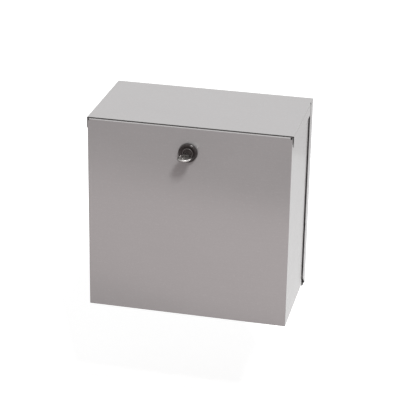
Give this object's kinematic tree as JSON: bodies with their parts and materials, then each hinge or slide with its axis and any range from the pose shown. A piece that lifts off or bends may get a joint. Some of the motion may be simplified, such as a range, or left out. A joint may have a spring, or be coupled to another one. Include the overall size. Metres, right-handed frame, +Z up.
{
  "type": "electrical enclosure",
  "caption": "Wall box of folded stainless sheet: back with a rain hood, and a box-shaped front cover that swings down on a long hinge and is held shut by a key-operated cam lock.",
  "frame": {"origin": "middle of the wall hole pattern, on the rear face of the back, level with the middle of the box", "axes": "+X to the right seen from the front, +Y from the front to the wall, +Z up"},
  "size_m": [0.3026, 0.2029, 0.3069],
  "materials": {
    "stainless_sheet": "satin",
    "zinc_plate": "galvanised, matt",
    "bright_hardware": "bright zinc plated",
    "stainless_hardware": "satin",
    "lock_black": "moulded, satin",
    "seal_rubber": "matt",
    "lock_metal": "die cast, dull nickel",
    "key_nickel": "nickel plated, worn satin"
  },
  "bodies": {
    "housing": {"back_and_hood": "stainless_sheet", "lock_striker": "stainless_sheet", "hinge_fixed_leaf": "stainless_hardware", "hinge_pin": "stainless_hardware", "fixed_leaf_rivets": "stainless_hardware", "plate_studs": "stainless_hardware", "plate_spacers": "stainless_hardware", "mounting_plate": "zinc_plate", "din_rail": "bright_hardware", "plate_washers": "bright_hardware", "plate_nuts": "bright_hardware", "rail_screws": "bright_hardware", "rail_nuts": "bright_hardware", "earth_stud": "stainless_hardware", "earth_washer": "bright_hardware", "earth_nut": "bright_hardware"},
    "cover": {"front_cover": "stainless_sheet", "hinge_moving_leaf": "stainless_hardware", "moving_leaf_rivets": "stainless_hardware", "cover_earth_stud": "stainless_hardware", "cover_earth_washer": "bright_hardware", "cover_earth_nut": "bright_hardware", "lock_housing": "lock_black", "lock_seal": "seal_rubber", "lock_nut": "bright_hardware"},
    "lock": {"lock_plug": "lock_metal", "lock_key": "key_nickel", "lock_cam": "bright_hardware", "cam_washer": "bright_hardware", "cam_screw": "bright_hardware"}
  },
  "joints": [
    {"name": "cover_hinge", "type": "hinge", "parent": "housing", "child": "cover", "pos_m": [-0.00045, -0.0175, -0.1526], "axis": [1, 0, 0], "range_deg": [0, 96]},
    {"name": "lock_turn", "type": "hinge", "parent": "cover", "child": "lock", "pos_m": [-0.00045, -0.1674, 0.111], "axis": [0, -1, 0], "range_deg": [0, 90]}
  ]
}
